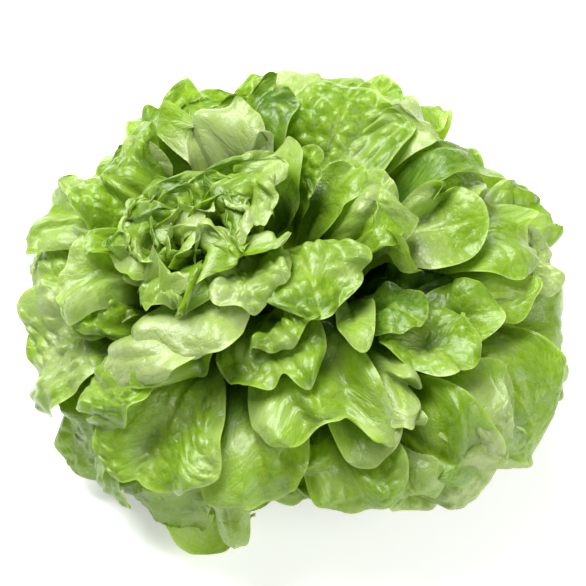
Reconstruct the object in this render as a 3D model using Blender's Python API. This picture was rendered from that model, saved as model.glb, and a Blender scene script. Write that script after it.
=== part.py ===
"""A head of loose-leaf green lettuce with round, waved leaves, standing on its cut stem.

Metres, +Z up. The origin is the middle of the stem's cut face, on the surface that the head rests on.
The leaves sit on a crown, a dome round the head. Each is placed by its bearing round the head from +X
and by its polar angle from the heart, both in degrees.
"""

import math
from typing import NamedTuple

import bmesh
import bpy
import numpy as np

# Crown: the dome that the middles of the leaves lie on
CROWN_RADIUS = 0.124
CROWN_HEIGHT = 0.070
CROWN_CENTRE = np.array([0.0, 0.0, 0.055])
HEART_LEAN = math.radians(24)
HEART_LEAN_BEARING = math.radians(208)

# Stem
STEM_RADIUS = 0.015
STEM_HEIGHT = 0.012
STEM_CHAMFER = 0.0015
STEM_SIDES = 24
STEM_GAP = 0.0003
LOWEST_ROOT = 0.018
HIGHEST_ROOT = 0.045

# Inside of the head, which the leaves stand out of: radius and height up the axis
CORE_PROFILE = ((0.016, STEM_HEIGHT + STEM_GAP), (0.024, 0.022), (0.056, 0.034), (0.086, 0.052),
                (0.098, 0.070), (0.084, 0.096), (0.048, 0.111))
CORE_TOP = 0.114
CORE_SIDES = 20

# Leaf blades
LEAF_THICKNESS = 0.0009
STALK_ROWS = 1
SMALL_AREA = 0.0026  # length times width of a leaf that gets a coarser grid
BASE_SHARE = 0.42  # width of a blade at its base, as a share of its full width
KNEE = 0.27  # distance from the midrib where a margin curls, as a share of the width
TIP_KNEE = 0.18  # distance from the middle where a tip curls, as a share of the length
WAVE_HEIGHT = (0.06, 0.10)  # of the margin's waves, as a share of the width
SWELL_HEIGHT = 0.03
LOBE_DEPTH = 0.035
ROOT_HALF_WIDTH = 0.005
FLOOR_SOFTNESS = 0.004

GOLDEN_ANGLE = 137.508
LEAST_BODY = 1e-5  # volume, in cubic metres, of a joined body that isn't a scrap

GREEN = (0.30, 0.50, 0.08, 1.0)
CREAM = (0.80, 0.76, 0.58, 1.0)


class Leaf(NamedTuple):
    """A leaf's place on the crown, its size in metres, and its bends in degrees."""

    bearing: float
    polar: float
    length: float
    width: float
    turn: float = 0  # of its tip, away from the way that leads from the heart
    pitch: float = 34  # rise of its middle off the crown, towards its tip
    bend: float = 60  # of the midrib, tip down, from its base to its tip
    cup: float = 20  # of the cross-section, margins up
    roll: float = 0  # about the midrib
    lift: float = 0  # of its middle off the crown, in metres
    curl_left: float = 0
    curl_right: float = 0
    tip_curl: float = 0
    ground_radius: float = 0  # for a leaf that lies under the crown: how far its middle is from the axis


# The leaves that the photograph shows, from the heart outwards
INNER_LEAVES = (
    Leaf(318, 30, 0.056, 0.056, turn=-36, pitch=24, bend=55, cup=-30, lift=0.012),
    Leaf(288, 17, 0.056, 0.036, turn=-38, pitch=28, bend=50, cup=-75, lift=0.006),
    Leaf(240, 30, 0.062, 0.038, turn=85, pitch=22, bend=60, cup=-60, lift=0.008),
    Leaf(72, 26, 0.040, 0.042, pitch=48, bend=45, cup=70, lift=0.002),
    Leaf(48, 33, 0.044, 0.024, turn=10, pitch=60, bend=25, cup=80, lift=0.006),
    Leaf(58, 20, 0.034, 0.022, turn=-10, pitch=66, bend=20, cup=110),
    Leaf(30, 38, 0.042, 0.034, turn=10, pitch=45, bend=50, cup=50, lift=0.002),
    Leaf(10, 47, 0.054, 0.034, turn=50, pitch=38, bend=30, cup=-80, lift=0.003),
    Leaf(355, 44, 0.034, 0.030, turn=-20, pitch=44, bend=50, cup=60, lift=-0.003),
    Leaf(186, 24, 0.036, 0.032, turn=-25, pitch=40, bend=50, cup=-50),
    Leaf(172, 33, 0.036, 0.032, turn=10, pitch=35, bend=50, cup=60),
)
FRONT_LEAVES = (
    Leaf(280, 43, 0.046, 0.056, turn=5, pitch=26, bend=40, cup=60, lift=0.002, tip_curl=-30),
    Leaf(289, 36, 0.034, 0.036, turn=25, pitch=40, bend=60, cup=-75, lift=0.006),
    Leaf(289, 53, 0.064, 0.056, turn=-8, pitch=26, bend=70, cup=-25, lift=0.002, tip_curl=-40),
    Leaf(316, 51, 0.062, 0.022, turn=-56, pitch=44, bend=40, cup=110, lift=0.005),
    Leaf(327, 60, 0.036, 0.036, turn=-10, pitch=40, bend=40, cup=95, lift=0.003),
    Leaf(325, 69, 0.056, 0.042, turn=-35, bend=60, cup=30, lift=0.003),
    Leaf(336, 76, 0.046, 0.038, turn=20, bend=50, cup=30, lift=0.001),
    Leaf(308, 67, 0.056, 0.020, turn=-42, pitch=36, bend=50, cup=-120, lift=0.010),
    Leaf(318, 82, 0.046, 0.044, pitch=29, bend=60, cup=30),
    Leaf(306, 79, 0.052, 0.048, turn=10, pitch=29, bend=60, cup=30, lift=-0.003),
    Leaf(288, 72, 0.044, 0.046, pitch=24, bend=60, lift=-0.004),
    Leaf(299, 65, 0.040, 0.038, turn=-20, pitch=29, bend=60, lift=-0.003),
    Leaf(303, 86, 0.050, 0.060, turn=15, pitch=24, bend=40),
    Leaf(326, 90, 0.076, 0.062, turn=-30, pitch=29, bend=70),
    Leaf(342, 101, 0.062, 0.058, turn=-20, pitch=29, bend=60, lift=0.004),
    Leaf(324, 99, 0.042, 0.044, turn=-10, pitch=26, bend=50),
    Leaf(311, 93, 0.044, 0.040, turn=10, pitch=24, bend=50, lift=0.001),
    Leaf(244, 56, 0.064, 0.062, turn=-6, pitch=26, bend=60, cup=-30, lift=0.005),
    Leaf(269, 60, 0.064, 0.046, turn=6, pitch=26, bend=55, cup=-35),
    Leaf(259, 71, 0.048, 0.026, turn=4, pitch=30, bend=50, cup=-120, lift=0.013),
    Leaf(221, 69, 0.068, 0.064, turn=10, pitch=26, bend=50, cup=10, lift=0.004),
    Leaf(240, 77, 0.054, 0.050, turn=-10, pitch=24, bend=50, lift=-0.002),
    Leaf(243, 89, 0.060, 0.050, turn=-12, pitch=22, bend=30, cup=10, lift=0.004),
)
LEFT_LEAVES = (
    Leaf(231, 42, 0.056, 0.026, turn=105, pitch=26, bend=50, cup=-130, lift=0.008),
    Leaf(240, 38, 0.044, 0.030, turn=85, bend=40, cup=-50),
    Leaf(227, 48, 0.046, 0.030, turn=80, bend=50, cup=-40, lift=-0.002),
    Leaf(199, 57, 0.070, 0.070, turn=14, pitch=24, bend=75, cup=-30, lift=0.003),
    Leaf(173, 60, 0.058, 0.042, turn=40, bend=50, cup=30, lift=-0.002),
    Leaf(197, 45, 0.046, 0.040, turn=10, pitch=44, bend=40, cup=60),
    Leaf(186, 39, 0.052, 0.048, pitch=40, bend=70, cup=-50, lift=0.003),
    Leaf(210, 42, 0.034, 0.026, turn=-20, pitch=44, bend=40, cup=80),
)
BACK_LEAVES = (
    Leaf(147, 45, 0.060, 0.064, pitch=34, bend=80, cup=-50, lift=0.005),
    Leaf(136, 47, 0.044, 0.022, turn=-10, pitch=62, bend=20, cup=70, lift=0.006),
    Leaf(157, 61, 0.046, 0.044, bend=60, cup=-30),
    Leaf(162, 73, 0.046, 0.042, turn=20, bend=50, cup=-20, lift=0.003),
    Leaf(118, 62, 0.062, 0.038, turn=55, bend=40, cup=30, lift=0.002),
    Leaf(108, 64, 0.042, 0.036, turn=10, pitch=52, bend=30, cup=60, lift=0.003),
    Leaf(94, 68, 0.038, 0.030, pitch=46, bend=30, cup=30, lift=0.003),
    Leaf(83, 71, 0.050, 0.042, pitch=48, bend=30, cup=30, lift=0.004),
    Leaf(127, 49, 0.048, 0.042, pitch=40, bend=40, cup=90, lift=-0.003),
    Leaf(96, 42, 0.040, 0.034, turn=-30, pitch=46, bend=40, cup=-90, lift=0.003),
    Leaf(108, 46, 0.036, 0.032, turn=20, pitch=44, bend=40, cup=-70, lift=0.002),
    Leaf(86, 50, 0.036, 0.034, pitch=40, bend=50, cup=40, lift=-0.003),
    Leaf(58, 60, 0.066, 0.066, turn=8, pitch=36, bend=15, cup=20, lift=0.007),
    Leaf(45, 72, 0.046, 0.042, pitch=40, bend=30, cup=20, lift=0.003),
    Leaf(62, 80, 0.048, 0.048, pitch=48, bend=30, lift=0.006),
    Leaf(31, 74, 0.058, 0.050, turn=-20, bend=50, lift=0.002),
)
RIGHT_LEAVES = (
    Leaf(3, 71, 0.052, 0.050, bend=20, cup=40, lift=0.006, curl_left=150),
    Leaf(349, 54, 0.056, 0.024, turn=-50, pitch=44, bend=20, cup=40, roll=70, lift=0.010),
    Leaf(20, 78, 0.048, 0.042, pitch=40, bend=40, lift=0.004),
    Leaf(14, 98, 0.040, 0.042, turn=-10, pitch=10, bend=50, lift=-0.006),
    Leaf(4, 83, 0.056, 0.054, turn=-10, bend=50, lift=0.001),
    Leaf(0, 93, 0.046, 0.044, turn=-10, bend=40),
    Leaf(347, 84, 0.046, 0.044, bend=60, cup=10, lift=0.002),
)

# Leaves that the photograph doesn't show, placed by a rule
HEART_COUNT = 4
BACK_SKIRT = ((44, 112), (70, 104), (92, 106), (114, 98), (136, 106), (156, 96), (176, 102), (196, 92))
SKIRT_SIZE = 0.082
GROUND_COUNT = 9
GROUND_HEIGHT = 0.014
GROUND_RADIUS = 0.074
GROUND_SIZE = 0.092
FLOOR_LEAF = Leaf(244, 100, 0.066, 0.050, turn=12, pitch=6, bend=10, cup=10, ground_radius=0.104)
OVERHANG_BEARING = 290  # where the leaves above hang clear of the surface
OVERHANG_SHARE = 0.25  # how much shorter the lowest leaves are there


def unit(vector):
    return vector / np.linalg.norm(vector, axis=-1, keepdims=True)


def turned(vector, axis, angle):
    """The vector turned about a unit axis by the right-hand rule."""
    cosine, sine = math.cos(angle), math.sin(angle)
    return vector * cosine + np.cross(axis, vector) * sine + axis * (axis @ vector) * (1 - cosine)


def crown_point(bearing, polar):
    bearing, polar = math.radians(bearing), math.radians(polar)
    outward, upward = math.sin(polar), math.cos(polar)
    way = np.array([outward * math.cos(bearing), outward * math.sin(bearing), upward])
    lean_axis = np.array([-math.sin(HEART_LEAN_BEARING), math.cos(HEART_LEAN_BEARING), 0.0])
    way = turned(way, lean_axis, HEART_LEAN)
    return CROWN_CENTRE + way / np.linalg.norm(way / (CROWN_RADIUS, CROWN_RADIUS, CROWN_HEIGHT))


def crown_frame(bearing, polar):
    """A point of the crown, the way out of the head there, and the way from the heart."""
    here = crown_point(bearing, polar)
    out = unit((here - CROWN_CENTRE) / np.array([CROWN_RADIUS, CROWN_RADIUS, CROWN_HEIGHT])**2)
    away = crown_point(bearing, polar + 0.5) - crown_point(bearing, polar - 0.5)
    return here, out, unit(away - out * (away @ out))


def leaf_frame(leaf):
    """The same for a leaf: on the crown, or on its back near the surface."""
    if not leaf.ground_radius:
        return crown_frame(leaf.bearing, leaf.polar)
    bearing = math.radians(leaf.bearing)
    away = np.array([math.cos(bearing), math.sin(bearing), 0.0])
    out = np.array([0.0, 0.0, 1.0])
    return away * leaf.ground_radius + out * GROUND_HEIGHT, out, away


def arc(distance, start, curvature):
    """Run and rise along an arc that starts at this angle, and its angle at the distance."""
    curvature = np.where(np.abs(curvature) < 1e-3, 1e-3, curvature)
    angle = start + curvature * distance
    return (np.sin(angle) - np.sin(start)) / curvature, (np.cos(start) - np.cos(angle)) / curvature, angle


def bent_arc(distance, knee, curvature, outer_curvature):
    """An arc from angle 0 that goes on with another curvature past its knee."""
    run, rise, angle = arc(np.minimum(distance, knee), 0.0, curvature)
    outer_run, outer_rise, angle = arc(np.maximum(distance - knee, 0.0), angle, outer_curvature)
    return run + outer_run, rise + outer_rise, angle


def ease(share):
    share = np.clip(share, 0, 1)
    return share * share * (3 - 2 * share)


def flat_blade(leaf, across, along, rng):
    """Plan and waves of a blade, for across and along from -1 to 1, with its tip at along = 1."""
    forward = np.maximum(along, 0)
    x = across * np.sqrt(1 - forward**2 / 2)
    y = np.where(along > 0, along * np.sqrt(1 - across**2 / 2), along)
    margin = np.maximum(np.abs(across), forward)
    around = np.arctan2(x, y + 0.25)
    phases = rng.uniform(0, 2 * math.pi, 4)
    lobes = np.sin(rng.integers(5, 9) * around + phases[0]) * ease((along + 1) / 0.6)
    lobe = 1 + LOBE_DEPTH * margin**3 * lobes
    from_base = 1 + np.minimum(y, 0)
    taper = BASE_SHARE + (1 - BASE_SHARE) * from_base * (2 - from_base)
    waves = margin**1.7 * np.sin(rng.integers(2, 5) * around + phases[1]) * rng.uniform(*WAVE_HEIGHT)
    swells = np.sin(3.1 * x + 2.2 * y + phases[2]) + np.sin(2.3 * x - 3.4 * y + phases[3])
    rise = (waves + SWELL_HEIGHT * swells) * leaf.width * ease((along + 1) / 0.8)
    return x * taper * lobe * leaf.width / 2, y * lobe * leaf.length / 2, rise


def midrib(leaf, distance):
    """Point, forward way, side way and face way of the midrib, for a distance from the blade's middle."""
    here, out, away = leaf_frame(leaf)
    forward = turned(away, out, math.radians(leaf.turn))
    bend = math.radians(leaf.bend) / leaf.length
    tip_bend = bend + math.radians(leaf.tip_curl) / (leaf.length * (0.5 - TIP_KNEE))
    to_tip, knee = np.maximum(distance, 0), TIP_KNEE * leaf.length
    tip_run, tip_rise, tip_angle = bent_arc(to_tip, knee, -bend, -tip_bend)
    run, rise, angle = arc(np.minimum(distance, 0), 0.0, -bend)
    run, rise, angle = (a[..., None] for a in (run + tip_run, rise + tip_rise, angle + tip_angle))
    pitch, roll = math.radians(leaf.pitch), math.radians(leaf.roll)
    level = forward * math.cos(pitch) + out * math.sin(pitch)
    up = out * math.cos(pitch) - forward * math.sin(pitch)
    point = here + out * leaf.lift + run * level + rise * up
    face = up * np.cos(angle) - level * np.sin(angle)
    side = np.cross(forward, out)
    return (point, level * np.cos(angle) + up * np.sin(angle),
            side * math.cos(roll) + face * math.sin(roll), face * math.cos(roll) - side * math.sin(roll))


def cross_section(leaf, x):
    """Distance to the side and rise of a blade's cross-section, for a distance x from the midrib."""
    cup = math.radians(leaf.cup) / leaf.width
    curl = np.radians(np.where(x < 0, leaf.curl_left, leaf.curl_right)) / (leaf.width * (0.5 - KNEE))
    run, rise, _ = bent_arc(np.abs(x), KNEE * leaf.width, cup, cup + curl)
    return np.sign(x) * run, rise


def stalk(leaf, across, rows):
    """Rows of points from the stem to just short of the blade's base."""
    base, base_way, base_side, _ = (a[0] for a in midrib(leaf, np.array([-leaf.length / 2])))
    out = unit(np.array([base[0], base[1], 0.0]))
    up = np.array([0.0, 0.0, 1.0])
    climb = math.radians(np.interp(leaf.polar, [0, 40, 100], [85, 50, 12]))
    height = np.interp(leaf.polar, [0, 100], [HIGHEST_ROOT, LOWEST_ROOT])
    root = out * STEM_RADIUS * np.interp(leaf.polar, [0, 60], [0.1, 0.8]) + up * height
    reach = np.linalg.norm(base - root)
    second = root + (out * math.cos(climb) + up * math.sin(climb)) * reach * 0.4
    third = base - base_way * reach * 0.35
    share = np.linspace(0, 1, rows + 1)[:-1, None]
    line = ((1 - share)**3 * root + 3 * (1 - share)**2 * share * second
            + 3 * (1 - share) * share**2 * third + share**3 * base)
    root_side = np.cross(out, up)
    root_side = root_side * np.sign(root_side @ base_side)
    side = unit(root_side * (1 - share) + base_side * share)
    face = unit(np.cross(side, unit(base - line)))
    half = ROOT_HALF_WIDTH + (leaf.width / 2 * BASE_SHARE - ROOT_HALF_WIDTH) * share
    to_side, rise = cross_section(leaf, across * half)
    return line[:, None] + to_side[..., None] * side[:, None] + rise[..., None] * face[:, None]


def leaf_points(leaf, columns, blade_rows, stalk_rows):
    """Rows of points from the stem to the tip of the leaf."""
    rng = np.random.default_rng([round(leaf.bearing), round(leaf.polar)])
    columns = np.linspace(-1, 1, columns)
    across, along = np.meshgrid(columns, np.linspace(-1, 1, blade_rows))
    x, y, rise = flat_blade(leaf, across, along, rng)
    point, _, side, face = midrib(leaf, y)
    to_side, section_rise = cross_section(leaf, x)
    blade = point + to_side[..., None] * side + (section_rise + rise)[..., None] * face
    return above_floor(np.concatenate([stalk(leaf, columns, stalk_rows), blade]))


def above_floor(points):
    """The points, with those that would pass through the surface lying along it."""
    lowest = LEAF_THICKNESS / 2
    points[..., 2] = lowest + FLOOR_SOFTNESS * np.logaddexp(0, (points[..., 2] - lowest) / FLOOR_SOFTNESS)
    return points


def sheet_normals(points):
    down_rows, down_columns = np.gradient(points, axis=0), np.gradient(points, axis=1)
    return unit(np.cross(down_columns, down_rows))


def sheet_solid(name, points):
    """A closed blade of even thickness, split into triangles alike on both faces."""
    rows, columns = points.shape[:2]
    offset = sheet_normals(points) * LEAF_THICKNESS / 2
    vertices = np.concatenate([(points + offset).reshape(-1, 3), (points - offset).reshape(-1, 3)])
    index = np.arange(rows * columns).reshape(rows, columns)
    a, b, c, d = index[:-1, :-1], index[:-1, 1:], index[1:, 1:], index[1:, :-1]
    top = np.concatenate([np.stack([a, b, c], -1).reshape(-1, 3), np.stack([a, c, d], -1).reshape(-1, 3)])
    rim = np.concatenate([index[0, :-1], index[:-1, -1], index[-1, :0:-1], index[:0:-1, 0]])
    after = np.roll(rim, -1)
    under = rows * columns
    sides = np.concatenate([np.stack([rim, rim + under, after + under], -1),
                            np.stack([rim, after + under, after], -1)])
    faces = np.concatenate([top, top[:, ::-1] + under, sides])
    return mesh_object(name, vertices, faces)


def mesh_object(name, vertices, faces):
    mesh = bpy.data.meshes.new(name)
    mesh.from_pydata(vertices.tolist(), [], faces.tolist())
    made = bpy.data.objects.new(name, mesh)
    bpy.context.scene.collection.objects.link(made)
    return made


def revolved(name, profile, sides):
    """A closed solid turned about the Z axis from (radius, height) points, the first ring closed flat."""
    bm = bmesh.new()
    rings = []
    for radius, height in profile:
        angles = [2 * math.pi * i / sides for i in range(sides)]
        rings.append([bm.verts.new((radius * math.cos(a), radius * math.sin(a), height)) for a in angles])
    bm.faces.new(rings[0][::-1])
    bm.faces.new(rings[-1])
    for low, high in zip(rings, rings[1:]):
        for i in range(sides):
            j = (i + 1) % sides
            bm.faces.new((low[i], low[j], high[j], high[i]))
    mesh = bpy.data.meshes.new(name)
    bm.to_mesh(mesh)
    bm.free()
    made = bpy.data.objects.new(name, mesh)
    bpy.context.scene.collection.objects.link(made)
    return made


def heart_leaves():
    """Small leaves that stand round the heart."""
    return [Leaf(i * GOLDEN_ANGLE, 6 + 2 * i, 0.024 + 0.001 * i, 0.024, pitch=70 - 4 * i, bend=50,
                 cup=40, lift=-0.006) for i in range(HEART_COUNT)]


def skirt_leaves():
    """Large outer leaves that hang on the side away from the camera."""
    rng = np.random.default_rng(11)
    return [Leaf(bearing, polar, SKIRT_SIZE * rng.uniform(0.9, 1.1), SKIRT_SIZE * rng.uniform(0.85, 1.05),
                 turn=rng.uniform(-15, 15), pitch=rng.uniform(14, 28), bend=rng.uniform(40, 70),
                 cup=rng.uniform(-20, 40)) for bearing, polar in BACK_SKIRT]


def ground_leaves():
    """The lowest leaves, which spread from the stem along the surface."""
    rng = np.random.default_rng(5)
    made = []
    for i in range(GROUND_COUNT):
        bearing = (i + 0.3) * 360 / GROUND_COUNT
        short = OVERHANG_SHARE * max(math.cos(math.radians(bearing - OVERHANG_BEARING)), 0)
        size = GROUND_SIZE * (1 - short)
        made.append(Leaf(bearing, 100, size * rng.uniform(0.95, 1.1), size * rng.uniform(0.8, 0.95),
                         turn=rng.uniform(-12, 12), pitch=rng.uniform(4, 10), bend=rng.uniform(-25, 25),
                         cup=rng.uniform(-20, 20), ground_radius=GROUND_RADIUS * (1 - short)))
    return made + [FLOOR_LEAF]


def keep_one_body(mesh):
    """Drops the loose scraps of a joined mesh and fills the hollows sealed inside it."""
    bm = bmesh.new()
    bm.from_mesh(mesh)
    bmesh.ops.triangulate(bm, faces=bm.faces[:])
    unseen = set(bm.faces)
    while unseen:
        front = [unseen.pop()]
        body = list(front)
        while front:
            near = {face for edge in front.pop().edges for face in edge.link_faces} & unseen
            unseen -= near
            body.extend(near)
            front.extend(near)
        if sum(tetrahedron_volume(face) for face in body) < LEAST_BODY:
            bmesh.ops.delete(bm, geom=body, context="FACES")
    bm.to_mesh(mesh)
    bm.free()


def tetrahedron_volume(triangle):
    """Signed volume between a triangle and the origin."""
    first, second, third = (vertex.co for vertex in triangle.verts)
    return first.dot(second.cross(third)) / 6


def join(core, repeats):
    """Fuses the repeats into the core with one Boolean union."""
    joined = bpy.data.collections.new("leaves_to_join")
    bpy.context.scene.collection.children.link(joined)
    for repeat in repeats:
        bpy.context.scene.collection.objects.unlink(repeat)
        joined.objects.link(repeat)
    union = core.modifiers.new("union", "BOOLEAN")
    union.operation = "UNION"
    union.operand_type = "COLLECTION"
    union.collection = joined
    union.solver = "MANIFOLD"
    bpy.context.view_layer.objects.active = core
    bpy.ops.object.modifier_apply(modifier=union.name)
    for repeat in list(joined.objects):
        bpy.data.objects.remove(repeat, do_unlink=True)
    bpy.data.collections.remove(joined)
    keep_one_body(core.data)


def material(name, colour, roughness):
    made = bpy.data.materials.new(name)
    made.use_nodes = True
    shader = made.node_tree.nodes["Principled BSDF"]
    shader.inputs["Base Color"].default_value = colour
    shader.inputs["Roughness"].default_value = roughness
    shader.inputs["Metallic"].default_value = 0.0
    return made


def grid_lines(leaf):
    """How many lines of points a blade has each way."""
    return 4 if leaf.length * leaf.width > SMALL_AREA else 3


def leaf_head():
    head = revolved("leaf_head", CORE_PROFILE + ((0.012, CORE_TOP),), CORE_SIDES)
    leaves = [*INNER_LEAVES, *FRONT_LEAVES, *LEFT_LEAVES, *BACK_LEAVES, *RIGHT_LEAVES]
    leaves += heart_leaves() + skirt_leaves() + ground_leaves()
    sheets = [leaf_points(leaf, grid_lines(leaf), grid_lines(leaf), STALK_ROWS) for leaf in leaves]
    join(head, [sheet_solid(f"leaf_{i}", points) for i, points in enumerate(sheets)])
    head.data.materials.append(material("leaf_green", GREEN, 0.45))


def cut_stem():
    profile = ((STEM_RADIUS - STEM_CHAMFER, 0.0), (STEM_RADIUS, STEM_CHAMFER), (STEM_RADIUS, STEM_HEIGHT))
    stem = revolved("cut_stem", profile, STEM_SIDES)
    stem.data.materials.append(material("stem_cream", CREAM, 0.6))
    stem.data.shade_smooth()


for old in list(bpy.data.objects):
    bpy.data.objects.remove(old, do_unlink=True)
cut_stem()
leaf_head()
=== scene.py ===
"""Looks of the lettuce head: its leaves at full detail, their skin, the cut stem, light and camera.

The leaves have the bearings, sizes and bends that they have in the part's source. Their crown is a
little smaller, because each leaf here is pushed clear of those under it. Added are their fine waves,
veins and blisters, and the small leaves that the source leaves out.
"""

import math
from typing import NamedTuple

import bpy
import numpy as np
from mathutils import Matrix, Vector


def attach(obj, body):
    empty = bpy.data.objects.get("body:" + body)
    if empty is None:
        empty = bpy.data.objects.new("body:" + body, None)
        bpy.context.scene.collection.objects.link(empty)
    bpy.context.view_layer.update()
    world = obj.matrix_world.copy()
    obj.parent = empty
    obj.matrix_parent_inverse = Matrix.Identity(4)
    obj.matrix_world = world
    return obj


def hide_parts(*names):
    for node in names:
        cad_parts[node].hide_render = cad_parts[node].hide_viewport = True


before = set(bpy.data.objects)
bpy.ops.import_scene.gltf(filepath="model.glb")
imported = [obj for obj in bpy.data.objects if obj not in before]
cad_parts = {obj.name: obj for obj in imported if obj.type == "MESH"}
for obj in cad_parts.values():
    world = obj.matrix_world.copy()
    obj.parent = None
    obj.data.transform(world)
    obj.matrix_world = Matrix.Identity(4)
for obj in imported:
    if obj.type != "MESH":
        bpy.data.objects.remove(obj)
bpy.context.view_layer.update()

UP = np.array([0.0, 0.0, 1.0])

# Crown: the dome that the middles of the leaves lie on
CROWN_RADIUS = 0.122
CROWN_HEIGHT = 0.066
CROWN_RADII = np.array([CROWN_RADIUS, CROWN_RADIUS, CROWN_HEIGHT])
CROWN_CENTRE = np.array([0.0, 0.0, 0.055])
HEART_LEAN = math.radians(24)
HEART_LEAN_BEARING = math.radians(208)
LEAN_AXIS = np.array([-math.sin(HEART_LEAN_BEARING), math.cos(HEART_LEAN_BEARING), 0.0])

# Stem and stalks
STEM_RADIUS = 0.015
LOWEST_ROOT = 0.018
HIGHEST_ROOT = 0.045
ROOT_HALF_WIDTH = 0.005
ROOT_OUT = ((0, 60), (0.1, 0.8))  # for these polar angles, a root's share of the stem's radius
STALK_ROWS = 9
STALK_HANDLES = (0.40, 0.35)  # of its curve, at the root and the blade, as shares of its reach
STALK_CLIMB = ((0, 40, 100), (85, 50, 12))  # for these polar angles, degrees up from level at the stem
STALK_PLAN = (0.03, 0.003)  # how far a stalk runs back from the blade on the skin's map
BASE_INWARD = 0.25  # the inward mark at the base of a blade

# Leaf blades
FLOOR_HEIGHT = 0.00045  # of the middle of a leaf that lies on the surface
BASE_SHARE = 0.42  # width of a blade at its base, as a share of its full width
KNEE = 0.27  # distance from the midrib where a margin curls, as a share of the width
TIP_KNEE = 0.18  # distance from the middle where a tip curls, as a share of the length
LEAST_CURVATURE = 1e-3  # per metre, of an arc that would be straight
WAVE_COUNTS = (2, 5)  # round a blade, with the second number left out
WAVE_HEIGHT = (0.08, 0.13)  # of the margin's waves, as a share of the width
SWELL_HEIGHT = 0.065  # of broad waves all over, as a share of the width
SWELL_WAYS = ((3.1, 2.2), (2.3, -3.4))
LOBE_COUNTS = (5, 9)
LOBE_DEPTH = 0.035
FLOOR_SOFTNESS = 0.004
LEAST_POINTS = 9  # across a blade, and along it

# Fine relief
SHOWN_SPACING = 0.0011  # between the points of a leaf that shows
HIDDEN_SPACING = 0.0018
RUFFLE_COUNTS = np.array([(4, 7), (7, 10), (11, 15), (17, 23)])  # as for the waves
RUFFLE_SHARES = (2.6, 1.0, 0.6, 0.3)  # of the height that follows
RUFFLE_HEIGHT = (0.008, 0.018)  # of the margin's finer waves, as a share of the width
PINCH_COUNT = 5  # narrow creases of a margin
PINCH_REACH = 2.4  # radians from the tip
PINCH_WIDTH = (0.07, 0.20)  # radians round the blade
PINCH_HEIGHT = 0.09  # as a share of the width
BLISTER_SPACING = 0.0074
BLISTER_CREASE = 0.65  # width of the creases between blisters, as a share of the spacing
BLISTER_HEIGHT = 0.0027
BLISTER_SHARE = (0.3, 1.15)  # square root of a leaf's share of that height
SMOOTH_MARGIN = 0.16  # share of a blade, from its edge, where blisters and veins fade
VEIN_SPACING = 0.0115  # on a leaf of the usual width
USUAL_WIDTH = 0.05
VEIN_SLOPE = 0.85
VEIN_WANDER = 0.0025
VEIN_WANDER_RATE = 260  # radians a metre
VEIN_DEPTH = 0.0003
VEIN_WIDTH = 0.0009
MIDRIB_WIDTH = 0.0022
MIDRIB_DEPTH = 0.0014

# Layering of the leaves over each other, on a map of the head round its heart
MAP_CELL = 0.7  # degrees
MAP_REACH = 165  # degrees
MAP_HALF = round(MAP_REACH / MAP_CELL) + 3  # cells from the middle of the map to its side
LAYER_GAP = 0.0046
TALLEST_LAYER = 0.016
PUSH_ROUNDS = 2
PUSH_REACH = 0.006  # over which a push fades out
LEAST_PUSH = 1e-4
RAISED_BY_LIFT = 600  # degrees nearer the heart that a metre of lift counts for in the order of layers
# Painted shade: a point that lies deeper than the smoothed layers round it is darkened, from the start to
# the full depth
PAINTED_SHADE_REACH = 9  # cells of the map round a point that it is compared with
PAINTED_SHADE_START = 0.002
PAINTED_SHADE_DEPTH = 0.012

GOLDEN_ANGLE = 137.508  # degrees


class Leaf(NamedTuple):
    """A leaf's place on the crown, its size in metres, and its bends in degrees."""

    bearing: float
    polar: float
    length: float
    width: float
    turn: float = 0  # of its tip, away from the way that leads from the heart
    pitch: float = 34  # rise of its middle off the crown, towards its tip
    bend: float = 60  # of the midrib, tip down, from its base to its tip
    cup: float = 20  # of the cross-section, margins up
    roll: float = 0  # about the midrib
    lift: float = 0  # of its middle off the crown, in metres
    curl_left: float = 0
    curl_right: float = 0
    tip_curl: float = 0
    ground_radius: float = 0  # for a leaf that lies under the crown: how far its middle is from the axis
    wave: float = 1  # height of the margin's waves, against the usual
    tone: float = 0  # darker, -1, to paler, 1
    puff: float = 1  # height of its blisters, against the usual


# The leaves that the photograph shows, from the heart outwards
INNER_LEAVES = (
    Leaf(318, 30, 0.056, 0.056, turn=-36, pitch=24, bend=55, cup=-30, lift=0.012, wave=0.3, puff=6),
    Leaf(288, 17, 0.056, 0.036, turn=-38, pitch=28, bend=50, cup=-75, lift=0.006, tone=0.3, puff=0.7),
    Leaf(240, 30, 0.062, 0.038, turn=85, pitch=22, bend=60, cup=-60, lift=0.008, tone=0.7, puff=0.5),
    Leaf(72, 26, 0.040, 0.042, pitch=48, bend=45, cup=70, lift=0.002, tone=0.2),
    Leaf(48, 33, 0.044, 0.024, turn=10, pitch=60, bend=25, cup=80, lift=0.006),
    Leaf(58, 20, 0.034, 0.022, turn=-10, pitch=66, bend=20, cup=110, tone=0.3),
    Leaf(30, 38, 0.042, 0.034, turn=10, pitch=45, bend=50, cup=50, lift=0.002, puff=0.4),
    Leaf(10, 47, 0.054, 0.034, turn=50, pitch=38, bend=30, cup=-80, lift=0.003, tone=0.3, puff=0.4),
    Leaf(355, 44, 0.034, 0.030, turn=-20, pitch=44, bend=50, cup=60, lift=-0.003),
    Leaf(186, 24, 0.036, 0.032, turn=-25, pitch=40, bend=50, cup=-50, tone=0.2),
    Leaf(172, 33, 0.036, 0.032, turn=10, pitch=35, bend=50, cup=60),
)
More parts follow.
